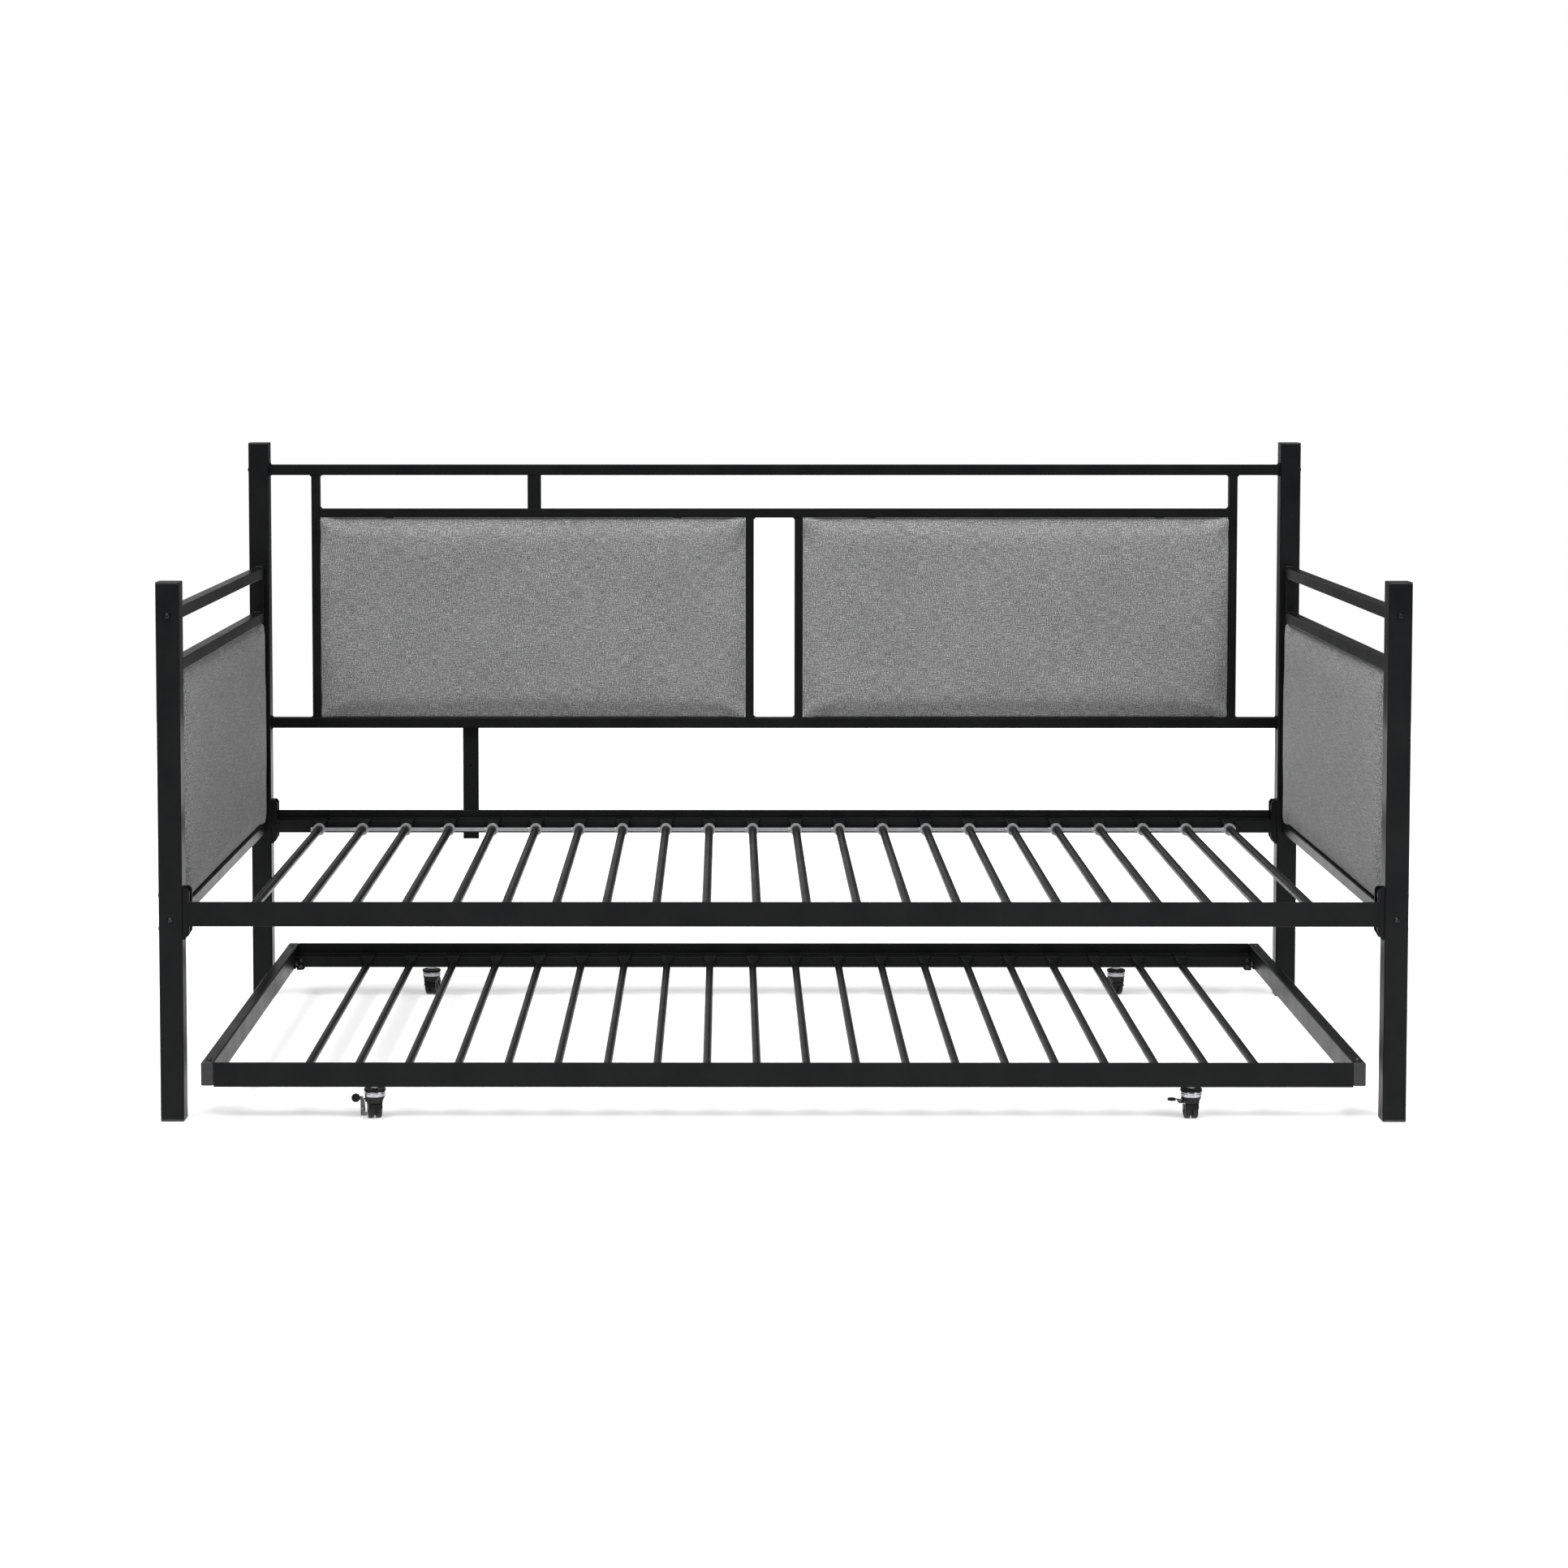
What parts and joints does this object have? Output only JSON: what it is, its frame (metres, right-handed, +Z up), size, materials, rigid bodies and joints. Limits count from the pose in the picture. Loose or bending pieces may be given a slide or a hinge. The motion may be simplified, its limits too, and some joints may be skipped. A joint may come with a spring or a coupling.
{
  "type": "daybed with roll-out trundle",
  "caption": "Steel-tube daybed with padded arms and back, a slatted deck, and a low slatted trundle that rolls out from underneath on casters.",
  "frame": {"origin": "on the floor under the middle of the bed", "axes": "+X along the bed to the right as seen from the front, +Y to the back, +Z up"},
  "size_m": [2.0066, 1.0466, 1.062],
  "materials": {
    "frame_steel": "satin black powder coat",
    "grey_fabric": "mid-grey linen-look weave with pale and dark slubs",
    "panel_board": "dark matte board",
    "black_plastic": "fine-grained moulded",
    "grey_plastic": "moulded, slightly glossy",
    "black_bolts": "black oxide",
    "zinc_steel": "zinc plated",
    "bright_steel": "bright plated",
    "caster_plastic": "moulded nylon",
    "wheel_plastic": "moulded nylon tread"
  },
  "bodies": {
    "daybed": {"post_front_left": "frame_steel", "post_front_right": "frame_steel", "post_back_left": "frame_steel", "post_back_right": "frame_steel", "post_top_caps": "black_plastic", "post_foot_glides": "black_plastic", "arm_frame_left": "frame_steel", "arm_frame_right": "frame_steel", "arm_pad_left": "grey_fabric", "arm_pad_right": "grey_fabric", "arm_pad_boards": "panel_board", "backrest_frame": "frame_steel", "backrest_upper_strut": "frame_steel", "backrest_lower_leg": "frame_steel", "backrest_leg_screws": "black_bolts", "backrest_pad_left": "grey_fabric", "backrest_pad_right": "grey_fabric", "backrest_pad_boards": "panel_board", "pad_board_tabs": "frame_steel", "pad_board_screws": "zinc_steel", "frame_bolts": "black_bolts", "frame_nuts": "zinc_steel", "side_rail_front": "frame_steel", "side_rail_back": "frame_steel", "side_rail_brackets": "frame_steel", "side_rail_bolts": "black_bolts", "side_rail_nuts": "zinc_steel", "deck_slats": "frame_steel", "deck_slat_links_front": "grey_plastic", "deck_slat_links_back": "grey_plastic"},
    "trundle": {"trundle_rail_front": "frame_steel", "trundle_rail_back": "frame_steel", "trundle_end_rails": "frame_steel", "trundle_end_caps": "black_plastic", "trundle_corner_brackets": "frame_steel", "trundle_corner_screws": "black_bolts", "trundle_slats": "frame_steel", "caster_stems": "zinc_steel", "caster_stem_nuts": "zinc_steel", "caster_top_discs": "caster_plastic"},
    "caster_fl_swivel": {"caster_fl_fork": "caster_plastic", "caster_fl_cup": "bright_steel"},
    "caster_fl_wheel": {"caster_fl_wheels": "wheel_plastic"},
    "caster_fl_brake": {"caster_fl_brake_lever": "bright_steel", "caster_fl_brake_pedal": "caster_plastic"},
    "caster_fr_swivel": {"caster_fr_fork": "caster_plastic", "caster_fr_cup": "bright_steel"},
    "caster_fr_wheel": {"caster_fr_wheels": "wheel_plastic"},
    "caster_fr_brake": {"caster_fr_brake_lever": "bright_steel", "caster_fr_brake_pedal": "caster_plastic"},
    "caster_bl_swivel": {"caster_bl_fork": "caster_plastic", "caster_bl_cup": "bright_steel"},
    "caster_bl_wheel": {"caster_bl_wheels": "wheel_plastic"},
    "caster_br_swivel": {"caster_br_fork": "caster_plastic", "caster_br_cup": "bright_steel"},
    "caster_br_wheel": {"caster_br_wheels": "wheel_plastic"}
  },
  "joints": [
    {"name": "trundle_slide", "type": "slide", "parent": "daybed", "child": "trundle", "axis": [0, -1, 0], "range_m": [0, 1]},
    {"name": "caster_fl_turn", "type": "hinge", "parent": "trundle", "child": "caster_fl_swivel", "pos_m": [-0.658, -0.496, 0.042], "axis": [0, 0, 1], "continuous": true},
    {"name": "caster_fl_roll", "type": "hinge", "parent": "caster_fl_swivel", "child": "caster_fl_wheel", "pos_m": [-0.65925, -0.49013, 0.017], "axis": [0.9781, 0.2079, 0], "continuous": true},
    {"name": "caster_fl_brake_lift", "type": "hinge", "parent": "caster_fl_swivel", "child": "caster_fl_brake", "pos_m": [-0.6713, -0.49883, 0.031], "axis": [0.9781, 0.2079, 0], "range_deg": [-80, 0]},
    {"name": "caster_fr_turn", "type": "hinge", "parent": "trundle", "child": "caster_fr_swivel", "pos_m": [0.658, -0.496, 0.042], "axis": [0, 0, 1], "continuous": true},
    {"name": "caster_fr_roll", "type": "hinge", "parent": "caster_fr_swivel", "child": "caster_fr_wheel", "pos_m": [0.658, -0.49, 0.017], "axis": [1, 0, 0], "continuous": true},
    {"name": "caster_fr_brake_lift", "type": "hinge", "parent": "caster_fr_swivel", "child": "caster_fr_brake", "pos_m": [0.6444, -0.496, 0.031], "axis": [1, 0, 0], "range_deg": [0, 80]},
    {"name": "caster_bl_turn", "type": "hinge", "parent": "trundle", "child": "caster_bl_swivel", "pos_m": [-0.658, 0.496, 0.042], "axis": [0, 0, 1], "continuous": true},
    {"name": "caster_bl_roll", "type": "hinge", "parent": "caster_bl_swivel", "child": "caster_bl_wheel", "pos_m": [-0.65675, 0.50187, 0.017], "axis": [0.9781, -0.2079, 0], "continuous": true},
    {"name": "caster_br_turn", "type": "hinge", "parent": "trundle", "child": "caster_br_swivel", "pos_m": [0.658, 0.496, 0.042], "axis": [0, 0, 1], "continuous": true},
    {"name": "caster_br_roll", "type": "hinge", "parent": "caster_br_swivel", "child": "caster_br_wheel", "pos_m": [0.65655, 0.50182, 0.017], "axis": [0.9703, 0.2419, 0], "continuous": true}
  ]
}
